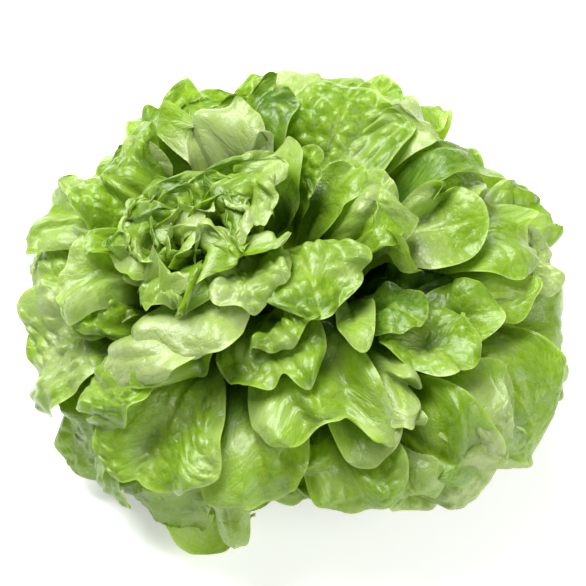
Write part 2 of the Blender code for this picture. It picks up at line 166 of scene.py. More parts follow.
FRONT_LEAVES = (
    Leaf(280, 43, 0.046, 0.056, turn=5, pitch=26, bend=40, cup=60, lift=0.002, tip_curl=-30, tone=0.1),
    Leaf(289, 36, 0.034, 0.036, turn=25, pitch=40, bend=60, cup=-75, lift=0.006),
    Leaf(289, 53, 0.064, 0.056, turn=-8, pitch=26, bend=70, cup=-25, lift=0.002, tip_curl=-40,
         tone=0.2, puff=0.8),
    Leaf(316, 51, 0.062, 0.022, turn=-56, pitch=44, bend=40, cup=110, lift=0.005, tone=0.5, puff=0.3),
    Leaf(327, 60, 0.036, 0.036, turn=-10, pitch=40, bend=40, cup=95, lift=0.003, tone=-0.6, puff=0.5),
    Leaf(325, 69, 0.056, 0.042, turn=-35, bend=60, cup=30, lift=0.003, puff=0.3),
    Leaf(336, 76, 0.046, 0.038, turn=20, bend=50, cup=30, lift=0.001, tone=-0.3, puff=0.3),
    Leaf(308, 67, 0.056, 0.020, turn=-42, pitch=36, bend=50, cup=-120, lift=0.010, tone=0.6, puff=0.2),
    Leaf(318, 82, 0.046, 0.044, pitch=29, bend=60, cup=30, wave=0.2, tone=0.3, puff=0.4),
    Leaf(306, 79, 0.052, 0.048, turn=10, pitch=29, bend=60, cup=30, lift=-0.003, tone=-0.2),
    Leaf(288, 72, 0.044, 0.046, pitch=24, bend=60, lift=-0.004),
    Leaf(299, 65, 0.040, 0.038, turn=-20, pitch=29, bend=60, lift=-0.003, tone=0.3),
    Leaf(303, 86, 0.050, 0.060, turn=15, pitch=24, bend=40, tone=0.5),
    Leaf(326, 90, 0.076, 0.062, turn=-30, pitch=29, bend=70, wave=0.7, tone=-0.1, puff=0.3),
    Leaf(342, 101, 0.062, 0.058, turn=-20, pitch=29, bend=60, lift=0.004, wave=0.6, tone=0.2, puff=0.3),
    Leaf(324, 99, 0.042, 0.044, turn=-10, pitch=26, bend=50, wave=0.6, tone=0.5, puff=0.4),
    Leaf(311, 93, 0.044, 0.040, turn=10, pitch=24, bend=50, lift=0.001, tone=0.9),
    Leaf(244, 56, 0.064, 0.062, turn=-6, pitch=26, bend=60, cup=-30, lift=0.005,
         wave=0.8, tone=0.1, puff=0.9),
    Leaf(269, 60, 0.064, 0.046, turn=6, pitch=26, bend=55, cup=-35, wave=0.6, tone=0.1, puff=0.6),
    Leaf(259, 71, 0.048, 0.026, turn=4, pitch=30, bend=50, cup=-120, lift=0.013, tone=0.45, puff=0.3),
    Leaf(221, 69, 0.068, 0.064, turn=10, pitch=26, bend=50, cup=10, lift=0.004,
         wave=0.8, puff=0.7),
    Leaf(240, 77, 0.054, 0.050, turn=-10, pitch=24, bend=50, lift=-0.002, tone=0.1, puff=0.6),
    Leaf(243, 89, 0.060, 0.050, turn=-12, pitch=22, bend=30, cup=10, lift=0.004, wave=0.5, tone=-0.1),
)
LEFT_LEAVES = (
    Leaf(231, 42, 0.056, 0.026, turn=105, pitch=26, bend=50, cup=-130, lift=0.008,
         wave=0.5, tone=1.0, puff=0.3),
    Leaf(240, 38, 0.044, 0.030, turn=85, bend=40, cup=-50, wave=0.6, tone=0.0, puff=0.5),
    Leaf(227, 48, 0.046, 0.030, turn=80, bend=50, cup=-40, lift=-0.002, tone=-0.1, puff=0.6),
    Leaf(199, 57, 0.070, 0.070, turn=14, pitch=24, bend=75, cup=-30, lift=0.003,
         wave=1.0, tone=0.4, puff=0.7),
    Leaf(173, 60, 0.058, 0.042, turn=40, bend=50, cup=30, lift=-0.002, wave=0.6, tone=0.2),
    Leaf(197, 45, 0.046, 0.040, turn=10, pitch=44, bend=40, cup=60, tone=0.1),
    Leaf(186, 39, 0.052, 0.048, pitch=40, bend=70, cup=-50, lift=0.003, tone=0.3),
    Leaf(210, 42, 0.034, 0.026, turn=-20, pitch=44, bend=40, cup=80, tone=-0.2),
)
BACK_LEAVES = (
    Leaf(147, 45, 0.060, 0.064, pitch=34, bend=80, cup=-50, lift=0.005, puff=1.2),
    Leaf(136, 47, 0.044, 0.022, turn=-10, pitch=62, bend=20, cup=70, lift=0.006, tone=0.9, puff=0.2),
    Leaf(157, 61, 0.046, 0.044, bend=60, cup=-30, tone=0.3, wave=1.2),
    Leaf(162, 73, 0.046, 0.042, turn=20, bend=50, cup=-20, lift=0.003, wave=0.6, tone=0.4),
    Leaf(118, 62, 0.062, 0.038, turn=55, bend=40, cup=30, lift=0.002, wave=0.6, puff=0.3),
    Leaf(108, 64, 0.042, 0.036, turn=10, pitch=52, bend=30, cup=60, lift=0.003),
    Leaf(94, 68, 0.038, 0.030, pitch=46, bend=30, cup=30, lift=0.003, wave=0.7, tone=-0.2),
    Leaf(83, 71, 0.050, 0.042, pitch=48, bend=30, cup=30, lift=0.004, wave=0.6, tone=0.5, puff=0.5),
    Leaf(127, 49, 0.048, 0.042, pitch=40, bend=40, cup=90, lift=-0.003, tone=-0.3),
    Leaf(96, 42, 0.040, 0.034, turn=-30, pitch=46, bend=40, cup=-90, lift=0.003, tone=0.6, puff=0.4),
    Leaf(108, 46, 0.036, 0.032, turn=20, pitch=44, bend=40, cup=-70, lift=0.002, tone=0.3),
    Leaf(86, 50, 0.036, 0.034, pitch=40, bend=50, cup=40, lift=-0.003, tone=-0.5),
    Leaf(58, 60, 0.066, 0.066, turn=8, pitch=36, bend=15, cup=20, lift=0.007, wave=0.2, puff=0.8),
    Leaf(45, 72, 0.046, 0.042, pitch=40, bend=30, cup=20, lift=0.003, wave=0.5, tone=0.6, puff=0.3),
    Leaf(62, 80, 0.048, 0.048, pitch=48, bend=30, lift=0.006, wave=0.5),
    Leaf(31, 74, 0.058, 0.050, turn=-20, bend=50, lift=0.002, wave=0.6, tone=-0.5, puff=0.2),
)
RIGHT_LEAVES = (
    Leaf(3, 71, 0.052, 0.050, bend=20, cup=40, lift=0.006, curl_left=150, wave=0.25, tone=0.3, puff=0.25),
    Leaf(349, 54, 0.056, 0.024, turn=-50, pitch=44, bend=20, cup=40, roll=70, lift=0.010,
         tone=0.3, puff=0.3),
    Leaf(20, 78, 0.048, 0.042, pitch=40, bend=40, lift=0.004, wave=0.6, tone=0.1),
    Leaf(14, 98, 0.040, 0.042, turn=-10, pitch=10, bend=50, lift=-0.006, wave=0.6),
    Leaf(4, 83, 0.056, 0.054, turn=-10, bend=50, lift=0.001, wave=0.6, puff=0.5),
    Leaf(0, 93, 0.046, 0.044, turn=-10, bend=40, wave=0.6, tone=0.7),
    Leaf(347, 84, 0.046, 0.044, bend=60, cup=10, lift=0.002, puff=0.6),
)

# Small leaves that show between those, which the solids leave out
BETWEEN_LEAVES = (
    Leaf(312, 86, 0.034, 0.036, bend=50, cup=40, lift=0.002, tone=0.7),
    Leaf(297, 80, 0.034, 0.030, turn=10, pitch=29, bend=50, cup=-20, tone=0.2),
    Leaf(226, 52, 0.036, 0.022, turn=60, pitch=39, bend=40, cup=60, lift=-0.002, tone=0.3),
    Leaf(142, 66, 0.036, 0.034, turn=-10, bend=40, wave=0.6, tone=0.3),
)

# Leaves placed by a rule: the heart's folded ones, and those that the photograph doesn't show
HEART_COUNT = 30
HEART_OFFSET = (-10.0, 0.0)  # of the heart's middle from the crown's pole, in degrees of polar angle
HEART_REACH = 19.5  # degrees
HEART_LENGTH = 0.018
HEART_WIDTH = 0.017
HEART_GROWTH = 0.010  # of both, from the middle outwards
# Bearing and polar angle of the leaves that hang at the back
BACK_SKIRT = ((44, 112), (70, 104), (92, 106), (114, 98), (136, 106), (156, 96), (176, 102), (196, 92))
SKIRT_SIZE = 0.082
GROUND_COUNT = 9
GROUND_HEIGHT = 0.014
GROUND_RADIUS = 0.074
GROUND_SIZE = 0.092
FLOOR_LEAF = Leaf(244, 100, 0.066, 0.050, turn=12, pitch=6, bend=10, cup=10, ground_radius=0.104,
                  tone=0.5)
OVERHANG_BEARING = 290  # where the head hangs over its lowest leaves
OVERHANG_SHARE = 0.25  # by which they are shorter there
UNDER_COUNT = 48
UNDER_SIZES = ((20, 60, 100), (0.036, 0.060, 0.074))  # for these polar angles
SEEDS = {"heart": 7, "skirt": 11, "ground": 5, "under": 11}  # of the rules' random draws
# Paler leaves near the heart, their own colour, and painted light that makes the lowest leaves paler
TONE_AND_PAINTED_LIGHT_BY_POLAR = ((10, 50, 90), (0.15, 0.0, 0.15))  # what a leaf's place adds to its tone


def unit(vector):
    """A vector, or each of an array, at length 1."""
    return vector / np.linalg.norm(vector, axis=-1, keepdims=True)


def turned(vector, axis, angle):
    """A vector, or each of an array, turned about a unit axis by the right-hand rule."""
    cosine, sine = math.cos(angle), math.sin(angle)
    along_axis = axis * (vector @ axis)[..., None]
    return vector * cosine + np.cross(axis, vector) * sine + along_axis * (1 - cosine)


def crown_point(bearing, polar):
    """The crown's point at this bearing and this angle from the heart, in degrees."""
    bearing, polar = math.radians(bearing), math.radians(polar)
    outward, upward = math.sin(polar), math.cos(polar)
    way = np.array([outward * math.cos(bearing), outward * math.sin(bearing), upward])
    way = turned(way, LEAN_AXIS, HEART_LEAN)
    return CROWN_CENTRE + way / np.linalg.norm(way / CROWN_RADII)


def crown_frame(bearing, polar):
    """A point of the crown, the way out of the head there, and the way from the heart."""
    here = crown_point(bearing, polar)
    out = unit((here - CROWN_CENTRE) / CROWN_RADII**2)
    away = crown_point(bearing, polar + 0.5) - crown_point(bearing, polar - 0.5)
    return here, out, unit(away - out * (away @ out))


def leaf_frame(leaf):
    """The same for a leaf: on the crown, or on its back near the surface."""
    if not leaf.ground_radius:
        return crown_frame(leaf.bearing, leaf.polar)
    bearing = math.radians(leaf.bearing)
    away = np.array([math.cos(bearing), math.sin(bearing), 0.0])
    return away * leaf.ground_radius + UP * GROUND_HEIGHT, UP, away


def arc(distance, start, curvature):
    """Run and rise along an arc that starts at this angle, and its angle at the distance."""
    curvature = np.where(np.abs(curvature) < LEAST_CURVATURE, LEAST_CURVATURE, curvature)
    angle = start + curvature * distance
    return (np.sin(angle) - np.sin(start)) / curvature, (np.cos(start) - np.cos(angle)) / curvature, angle


def bent_arc(distance, knee, curvature, outer_curvature):
    """An arc from angle 0 that goes on with another curvature past its knee."""
    run, rise, angle = arc(np.minimum(distance, knee), 0.0, curvature)
    outer_run, outer_rise, angle = arc(np.maximum(distance - knee, 0.0), angle, outer_curvature)
    return run + outer_run, rise + outer_rise, angle


def ease(share):
    """A smooth step from 0 to 1."""
    share = np.clip(share, 0, 1)
    return share * share * (3 - 2 * share)


def flat_blade(leaf, across, along, rng, fine):
    """Plan, height and margin share of a blade, for across and along from -1 to 1, the tip at 1."""
    forward = np.maximum(along, 0)
    x = across * np.sqrt(1 - forward**2 / 2)
    y = np.where(along > 0, along * np.sqrt(1 - across**2 / 2), along)
    margin = np.maximum(np.abs(across), forward)
    around = np.arctan2(x, y + 0.25)
    phases = rng.uniform(0, 2 * math.pi, 4)
    lobes = np.sin(rng.integers(*LOBE_COUNTS) * around + phases[0]) * ease((along + 1) / 0.6)
    lobe = 1 + LOBE_DEPTH * margin**3 * lobes
    from_base = 1 + np.minimum(y, 0)
    taper = BASE_SHARE + (1 - BASE_SHARE) * from_base * (2 - from_base)
    waves = margin**1.7 * np.sin(rng.integers(*WAVE_COUNTS) * around + phases[1])
    waves = waves * rng.uniform(*WAVE_HEIGHT) * leaf.wave
    swells = sum(np.sin(a * x + b * y + phase) for (a, b), phase in zip(SWELL_WAYS, phases[2:]))
    rise = waves + SWELL_HEIGHT * swells + leaf.wave * ruffles(margin, around, fine)
    x, y = x * taper * lobe * leaf.width / 2, y * lobe * leaf.length / 2
    return x, y, rise * leaf.width * ease((along + 1) / 0.8), margin


def ruffles(margin, around, rng):
    """Finer waves towards the margin, each a little uneven."""
    total = 0.0
    counts = rng.integers(RUFFLE_COUNTS[:, 0], RUFFLE_COUNTS[:, 1])
    for count, share in zip(counts, RUFFLE_SHARES):
        uneven = 1 + 0.6 * np.sin(2 * around + rng.uniform(0, 6))
        phase = rng.uniform(0, 6) + 0.8 * np.sin(3 * around)
        total = total + share * uneven * np.sin(count * around + phase)
    return total * margin**4.5 * rng.uniform(*RUFFLE_HEIGHT) + margin**3.5 * pinches(around, rng)


def pinches(around, rng):
    """A few narrow creases that run in from the margin, up or down."""
    total = 0.0
    middles = rng.uniform(-PINCH_REACH, PINCH_REACH, PINCH_COUNT)
    for middle, width in zip(middles, rng.uniform(*PINCH_WIDTH, PINCH_COUNT)):
        total = total + rng.uniform(-1, 1) * np.exp(-((around - middle) / width)**2)
    return total * PINCH_HEIGHT


def midrib(leaf, distance):
    """Point, forward way, side way and face way of the midrib, for a distance from the blade's middle."""
    here, out, away = leaf_frame(leaf)
    forward = turned(away, out, math.radians(leaf.turn))
    bend = math.radians(leaf.bend) / leaf.length
    tip_bend = bend + math.radians(leaf.tip_curl) / (leaf.length * (0.5 - TIP_KNEE))
    to_tip, knee = np.maximum(distance, 0), TIP_KNEE * leaf.length
    tip_run, tip_rise, tip_angle = bent_arc(to_tip, knee, -bend, -tip_bend)
    run, rise, angle = arc(np.minimum(distance, 0), 0.0, -bend)
    run, rise, angle = (a[..., None] for a in (run + tip_run, rise + tip_rise, angle + tip_angle))
    pitch, roll = math.radians(leaf.pitch), math.radians(leaf.roll)
    level = forward * math.cos(pitch) + out * math.sin(pitch)
    up = out * math.cos(pitch) - forward * math.sin(pitch)
    point = here + out * leaf.lift + run * level + rise * up
    face = up * np.cos(angle) - level * np.sin(angle)
    side = np.cross(forward, out)
    return (point, level * np.cos(angle) + up * np.sin(angle),
            side * math.cos(roll) + face * math.sin(roll), face * math.cos(roll) - side * math.sin(roll))


def cross_section(leaf, x):
    """Distance to the side and rise of a blade's cross-section, for a distance x from the midrib."""
    cup = math.radians(leaf.cup) / leaf.width
    curl = np.radians(np.where(x < 0, leaf.curl_left, leaf.curl_right)) / (leaf.width * (0.5 - KNEE))
    run, rise, _ = bent_arc(np.abs(x), KNEE * leaf.width, cup, cup + curl)
    return np.sign(x) * run, rise


def curve(first, second, third, last, share):
    """Points of a curve that leaves the first towards the second, and comes to the last from the third."""
    return ((1 - share)**3 * first + 3 * (1 - share)**2 * share * second
            + 3 * (1 - share) * share**2 * third + share**3 * last)


def stalk(leaf, across, rows):
    """Rows of points from the stem to just short of the blade's base."""
    base, base_way, base_side, _ = (a[0] for a in midrib(leaf, np.array([-leaf.length / 2])))
    out = unit(np.array([base[0], base[1], 0.0]))
    climb = math.radians(np.interp(leaf.polar, *STALK_CLIMB))
    height = np.interp(leaf.polar, [0, 100], [HIGHEST_ROOT, LOWEST_ROOT])
    root = out * STEM_RADIUS * np.interp(leaf.polar, *ROOT_OUT) + UP * height
    reach = np.linalg.norm(base - root)
    second = root + (out * math.cos(climb) + UP * math.sin(climb)) * reach * STALK_HANDLES[0]
    third = base - base_way * reach * STALK_HANDLES[1]
    share = np.linspace(0, 1, rows + 1)[:-1, None]
    line = curve(root, second, third, base, share)
    root_side = np.cross(out, UP)
    root_side = root_side * np.sign(root_side @ base_side)
    side = unit(root_side * (1 - share) + base_side * share)
    face = unit(np.cross(side, unit(base - line)))
    half = ROOT_HALF_WIDTH + (leaf.width / 2 * BASE_SHARE - ROOT_HALF_WIDTH) * share
    to_side, rise = cross_section(leaf, across * half)
    return line[:, None] + to_side[..., None] * side[:, None] + rise[..., None] * face[:, None]


def vein_pattern(leaf, x, y):
    """How near each point is to a vein, from 0 to 1, for the midrib and for the side veins."""
    length = leaf.length / 2
    up = np.clip((y + length) / (2 * length), 0, 1)
    main = np.exp(-(x / (MIDRIB_WIDTH * (1.15 - up)))**2)
    step = VEIN_SPACING * (0.75 + 0.25 * leaf.width / USUAL_WIDTH)
    aside = np.abs(x)
    wander = VEIN_WANDER * np.sin(x * VEIN_WANDER_RATE + leaf.bearing)
    level = (y - VEIN_SLOPE * aside * (1 - 0.35 * aside / leaf.width) + wander) / step
    level = level + np.where(x > 0, 0.5, 0.0)
    off = np.abs(level - np.round(level)) * step
    side = np.exp(-(off / VEIN_WIDTH)**2) * np.clip(1.2 - 1.6 * aside / leaf.width, 0.25, 1)
    return main, side


def blister_pattern(x, y, rng):
    """Distance from a net of small veins, and the height of the rounded bulges between them."""
    step = BLISTER_SPACING * rng.uniform(0.8, 1.4)
    columns = np.arange(x.min() - step, x.max() + step, step)
    rows = np.arange(y.min() - step, y.max() + step, step * 0.87)
    seeds = np.array([(c + (r % 2) * step / 2, row) for r, row in enumerate(rows) for c in columns])
    seeds = seeds + rng.uniform(-0.42, 0.42, seeds.shape) * step
    flat = np.stack([x.ravel(), y.ravel()], -1)
    distance = np.sqrt(((flat[:, None] - seeds[None])**2).sum(-1))
    nearest = np.partition(distance, 1, axis=1)[:, :2]
    edge = ((nearest[:, 1] - nearest[:, 0]) / step).reshape(x.shape)
    height = rng.uniform(0.6, 1.3, len(seeds))[distance.argmin(axis=1)].reshape(x.shape)
    return edge, ease(edge / BLISTER_CREASE) * height


class Sheet(NamedTuple):
    """A leaf as rows of points, with what the skin reads at each, from 0 to 1."""

    points: np.ndarray
    plan: np.ndarray  # the points before the leaf is bent
    vein: np.ndarray
    rim: np.ndarray
    # painted highlight on the tops of the blisters, from their height
    blister_highlight: np.ndarray
    # painted shade, from 0 to 1, deeper in the hollows between the leaves
    hollow: np.ndarray
    inward: np.ndarray  # 1 at the root, 0 past the blade's base
    blade: np.ndarray  # 0 at the blade's base, 1 on its outer part


def leaf_sheet(leaf, spacing):
    """A leaf's stalk and blade, with points this far apart."""
    seeds = [round(leaf.bearing), round(leaf.polar)]
    rng, fine = np.random.default_rng(seeds), np.random.default_rng([*seeds, 1])
    columns = np.linspace(-1, 1, max(LEAST_POINTS, round(leaf.width / spacing)))
    rows = np.linspace(-1, 1, max(LEAST_POINTS, round(leaf.length / spacing)))
    across, along = np.meshgrid(columns, rows)
    x, y, rise, margin = flat_blade(leaf, across, along, rng, fine)
    main, side_veins = vein_pattern(leaf, x, y)
    net, blisters = blister_pattern(x, y, fine)
    inner = ease((1 - margin) / SMOOTH_MARGIN)
    height = BLISTER_HEIGHT * leaf.puff * fine.uniform(*BLISTER_SHARE)**2
    relief = height * blisters * inner * (1 - main) * ease((along + 1) / 0.5)
    relief = relief - VEIN_DEPTH * side_veins * inner - MIDRIB_DEPTH * main * ease((1 - along) / 1.2)
    point, _, side, face = midrib(leaf, y)
    to_side, section_rise = cross_section(leaf, x)
    blade = Sheet(
        points=point + to_side[..., None] * side + (section_rise + rise + relief)[..., None] * face,
        plan=np.stack([x, y], -1),
        vein=np.clip(0.8 * main + 0.35 * side_veins + 0.3 * np.exp(-(net / 0.16)**2) * inner, 0, 1),
        rim=ease((margin - 0.93) / 0.07) * ease((along + 1) / 0.3),
        blister_highlight=np.clip(blisters, 0, 1) * inner * (1 - main),
        hollow=np.zeros(x.shape),
        inward=BASE_INWARD * np.clip(-0.5 - along, 0, 0.5) / 0.5,
        blade=ease((along + 0.9) / 0.6))
    return with_stalk(leaf, columns, blade)


def with_stalk(leaf, columns, blade):
    """A blade's sheet with the rows of its stalk put before it."""
    shape = (STALK_ROWS, len(columns))
    back = np.stack([np.zeros(STALK_ROWS), np.linspace(*STALK_PLAN, STALK_ROWS)], -1)
    before = Sheet(
        points=stalk(leaf, columns, STALK_ROWS),
        plan=blade.plan[:1] - back[:, None],
        vein=np.broadcast_to(blade.vein[:1], shape),
        rim=np.zeros(shape),
        blister_highlight=np.zeros(shape),
        hollow=np.zeros(shape),
        inward=np.broadcast_to(np.linspace(1, BASE_INWARD, STALK_ROWS)[:, None], shape),
        blade=np.zeros(shape))
    return Sheet(*(np.concatenate(pair) for pair in zip(before, blade)))


def above_floor(points):
    """The points, with those that would pass through the surface lying along it."""
    over = (points[..., 2] - FLOOR_HEIGHT) / FLOOR_SOFTNESS
    points[..., 2] = FLOOR_HEIGHT + FLOOR_SOFTNESS * np.logaddexp(0, over)
    return points


def from_centre(points):
    """The way from the crown's centre to each point, and the distance."""
    ways = points - CROWN_CENTRE
    radius = np.linalg.norm(ways, axis=-1)
    return ways / radius[..., None], radius


def map_cells(ways):
    """The cell of the map that each way out of the crown's centre falls in."""
    ways = turned(ways, LEAN_AXIS, -HEART_LEAN)
    polar = np.degrees(np.arccos(np.clip(ways[..., 2], -1, 1)))
    bearing = np.arctan2(ways[..., 1], ways[..., 0])
    cells = np.minimum(polar, MAP_REACH) / MAP_CELL
    return (np.round(cells * np.cos(bearing)).astype(int) + MAP_HALF,
            np.round(cells * np.sin(bearing)).astype(int) + MAP_HALF)


def crown_distance(ways):
    """How far the crown is from its centre along each way."""
    return 1 / np.linalg.norm(ways / CROWN_RADII, axis=-1)


def smoothed(values, reach):
    """The values averaged over their neighbours on the grid."""
    weights = np.hanning(2 * reach + 3)
    weights = weights / weights.sum()
    padded = np.pad(values, reach + 1, mode="edge")
    once = np.apply_along_axis(np.convolve, 0, padded, weights, "valid")
    return np.apply_along_axis(np.convolve, 1, once, weights, "valid")


def spread(values, reach):
    """The values widened over the grid to their neighbours, then smoothed."""
    padded = np.pad(values, reach, mode="edge")
    for window in ((2 * reach + 1, 1), (1, 2 * reach + 1)):
        padded = np.lib.stride_tricks.sliding_window_view(padded, window).max(axis=(-2, -1))
    return smoothed(padded, reach)


def pushed_clear(radius, below, blade, reach):
    """A sheet's distances from the centre, raised smoothly where it would touch what is below."""
    for _ in range(PUSH_ROUNDS):
        short = np.clip(below + LAYER_GAP - radius, 0, TALLEST_LAYER) * blade
        if short.max() < LEAST_PUSH:
            break
        radius = radius + spread(short, reach)
    return radius


def raise_map(heights, cells, top):
    """Raises the map to the sheet's top at these cells and round them."""
    row, column = cells
    for i in (-1, 0, 1):
        for j in (-1, 0, 1):
            np.maximum.at(heights, (row + i, column + j), top)


def lay_over(sheets, spacings):
    """Pushes each sheet clear of those before it, which lie under it, and returns the sheets with their
    painted shade.
    """
    heights = np.zeros((2 * MAP_HALF + 1, 2 * MAP_HALF + 1))
    laid = []
    for sheet, spacing in zip(sheets, spacings):
        ways, radius = from_centre(sheet.points)
        cells = map_cells(ways)
        reach = max(2, round(PUSH_REACH / spacing))
        radius = pushed_clear(radius, heights[cells], sheet.blade, reach)
        laid.append(sheet._replace(points=above_floor(CROWN_CENTRE + ways * radius[..., None])))
        raise_map(heights, cells, np.minimum(radius, crown_distance(ways) + TALLEST_LAYER))
    # painted shade of each point, from the smoothed heights of the layers round it
    around = smoothed(heights, PAINTED_SHADE_REACH)
    return [in_hollow(sheet, around) for sheet in laid]


def in_hollow(sheet, around):
    """The sheet with how deep each point lies in the hollows between the leaves, from 0 to 1, the mark of
    its painted shade.
    """
    ways, radius = from_centre(sheet.points)
    under = around[map_cells(ways)] - radius
    return sheet._replace(hollow=ease((under - PAINTED_SHADE_START) / PAINTED_SHADE_DEPTH))


def heart_leaves():
    """Small leaves that stand folded round the heart, and lie lower further from it."""
    rng = np.random.default_rng(SEEDS["heart"])
    made = []
    for i in range(HEART_COUNT):
        share = i / HEART_COUNT
        way, distance = math.radians(i * GOLDEN_ANGLE), HEART_REACH * math.sqrt(share)
        x = HEART_OFFSET[0] + distance * math.cos(way)
        y = HEART_OFFSET[1] + distance * math.sin(way)
        bearing = math.degrees(math.atan2(y, x)) % 360
        length = HEART_LENGTH + HEART_GROWTH * share
        width = rng.uniform(0.9, 1.4) * (HEART_WIDTH + HEART_GROWTH * share)
        made.append(Leaf(bearing, math.hypot(x, y), length, width,
                         turn=math.degrees(way) - bearing + rng.uniform(-70, 70), pitch=75 - 30 * share,
                         bend=rng.uniform(20, 70), cup=rng.choice([-1, 1]) * rng.uniform(80, 170),
                         roll=rng.uniform(-40, 40), lift=rng.uniform(-0.009, 0.001), wave=1.3,
                         tone=rng.uniform(-0.5, 0.5), puff=0.8))
    return made


def skirt_leaves():
    """Large outer leaves that hang on the side away from the camera."""
    rng = np.random.default_rng(SEEDS["skirt"])
    return [Leaf(bearing, polar, SKIRT_SIZE * rng.uniform(0.9, 1.1), SKIRT_SIZE * rng.uniform(0.85, 1.05),
                 turn=rng.uniform(-15, 15), pitch=rng.uniform(14, 28), bend=rng.uniform(40, 70),
                 cup=rng.uniform(-20, 40)) for bearing, polar in BACK_SKIRT]


def ground_leaves():
    """The lowest leaves, which spread from the stem along the surface."""
    rng = np.random.default_rng(SEEDS["ground"])
    made = []
    for i in range(GROUND_COUNT):
        bearing = (i + 0.3) * 360 / GROUND_COUNT
        short = OVERHANG_SHARE * max(math.cos(math.radians(bearing - OVERHANG_BEARING)), 0)
        size = GROUND_SIZE * (1 - short)
        made.append(Leaf(bearing, 100, size * rng.uniform(0.95, 1.1), size * rng.uniform(0.8, 0.95),
                         turn=rng.uniform(-12, 12), pitch=rng.uniform(4, 10), bend=rng.uniform(-25, 25),
                         cup=rng.uniform(-20, 20), ground_radius=GROUND_RADIUS * (1 - short)))
    return made + [FLOOR_LEAF]


def under_leaves():
    """Leaves that fill the gaps between and under the others, darker in tone as painted shade."""
    rng = np.random.default_rng(SEEDS["under"])
    made = []
    for i in range(UNDER_COUNT):
        polar = 22 + 80 * math.sqrt(i / UNDER_COUNT)
        size = np.interp(polar, *UNDER_SIZES)
        length, width = size * rng.uniform(0.9, 1.1), size * rng.uniform(0.85, 1.05)
        # darker tones, at random down to -0.6: painted shade on leaves that lie under the others
        made.append(Leaf(i * GOLDEN_ANGLE + 20, polar, length, width,
                         turn=rng.uniform(-25, 25), pitch=rng.uniform(29, 49), bend=rng.uniform(40, 80),
                         cup=rng.uniform(-30, 60), roll=rng.uniform(-15, 15),
                         lift=rng.uniform(-0.040, -0.026), tone=rng.uniform(-0.6, 0.0)))
    return made


def sheet_mesh(name, sheet):
    """The rows of points joined by quads, with the plan as a map for the skin."""
    rows, columns = sheet.vein.shape
    index = np.arange(rows * columns).reshape(rows, columns)
    faces = np.stack([index[:-1, :-1], index[:-1, 1:], index[1:, 1:], index[1:, :-1]], -1).reshape(-1, 4)
    mesh = bpy.data.meshes.new(name)
    mesh.vertices.add(index.size)
    mesh.loops.add(faces.size)
    mesh.polygons.add(len(faces))
    mesh.vertices.foreach_set("co", sheet.points.astype(np.float32).ravel())
    mesh.loops.foreach_set("vertex_index", faces.astype(np.int32).ravel())
    mesh.polygons.foreach_set("loop_start", np.arange(0, faces.size, 4, dtype=np.int32))
    mesh.update(calc_edges=True)
    uv = mesh.uv_layers.new(name="plan")
    uv.data.foreach_set("uv", sheet.plan.reshape(-1, 2)[faces.ravel()].astype(np.float32).ravel())
    mesh.shade_smooth()
    return mesh


def sheet_object(name, sheet, tone, skin):
    """The sheet as a piece that rides on the part, in place of its plain leaves."""
    mesh = sheet_mesh(name, sheet)
    marks = {"vein": sheet.vein, "rim": sheet.rim, "blister_highlight": sheet.blister_highlight, "hollow": sheet.hollow,
             "inward": sheet.inward, "tone": np.full(sheet.vein.shape, tone)}
    for key, values in marks.items():
        attribute = mesh.attributes.new(key, "FLOAT", "POINT")
        attribute.data.foreach_set("value", values.astype(np.float32).ravel())
    mesh.materials.append(skin)
    made = bpy.data.objects.new(name, mesh)
    bpy.context.scene.collection.objects.link(made)
    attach(made, "root")
    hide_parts("leaf_head")


class Nodes:
    """A material's node tree, with short calls to add to it. An input is named, or i0 for the first."""

    def __init__(self, name):
        self.material = bpy.data.materials.new(name)
        self.material.use_nodes = True
        self.tree = self.material.node_tree
        self.tree.nodes.clear()

    def add(self, kind, **inputs):
        made = self.tree.nodes.new(kind)
        for key, value in inputs.items():
            numbered = key[0] == "i" and key[1:].isdigit()
            self.put(made.inputs[int(key[1:]) if numbered else key.replace("_", " ")], value)
        return made

    def put(self, socket, value):
        if isinstance(value, bpy.types.NodeSocket):
            self.tree.links.new(value, socket)
        else:
            socket.default_value = value

    def place(self):
        return self.add("ShaderNodeTexCoord").outputs["Object"]

    def uv(self, name):
        made = self.add("ShaderNodeUVMap")
        made.uv_map = name
        return made.outputs[0]

    def attribute(self, name):
        made = self.add("ShaderNodeAttribute")
        made.attribute_name = name
        return made.outputs["Fac"]

    def math(self, operation, first, second):
        made = self.add("ShaderNodeMath", i0=first, i1=second)
        made.operation = operation
        return made.outputs[0]

    def plus(self, first, second):
        return self.math("ADD", first, second)

    def times(self, first, second):
        return self.math("MULTIPLY", first, second)

    def mix(self, share, first, second):
        """The first colour going over into the second as the share rises."""
        made = self.tree.nodes.new("ShaderNodeMix")
        made.data_type = "RGBA"
        for socket, value in zip((made.inputs[0], made.inputs[6], made.inputs[7]), (share, first, second)):
            self.put(socket, value)
        return made.outputs[2]

    def noise(self, vector, scale, detail):
        return self.add("ShaderNodeTexNoise", Vector=vector, Scale=scale, Detail=detail).outputs[0]

    def cell_edges(self, vector, scale):
        """Distance to the edges of irregular cells."""
        made = self.add("ShaderNodeTexVoronoi", Vector=vector, Scale=scale)
        made.feature = "DISTANCE_TO_EDGE"
        return made.outputs[0]

    def ramp(self, value, low, high):
        """A smooth step from 0 to 1 between low and high."""
        made = self.add("ShaderNodeMapRange", Value=value, From_Min=low, From_Max=high)
        made.interpolation_type = "SMOOTHSTEP"
        return made.outputs[0]

    def bump(self, height, strength, distance, **normal):
        made = self.add("ShaderNodeBump", Strength=strength, Distance=distance, Height=height, **normal)
        return made.outputs[0]

    def surface(self, shader):
        """Ends the tree with this shader, and returns the material."""
        self.add("ShaderNodeOutputMaterial", Surface=shader.outputs[0])
        return self.material
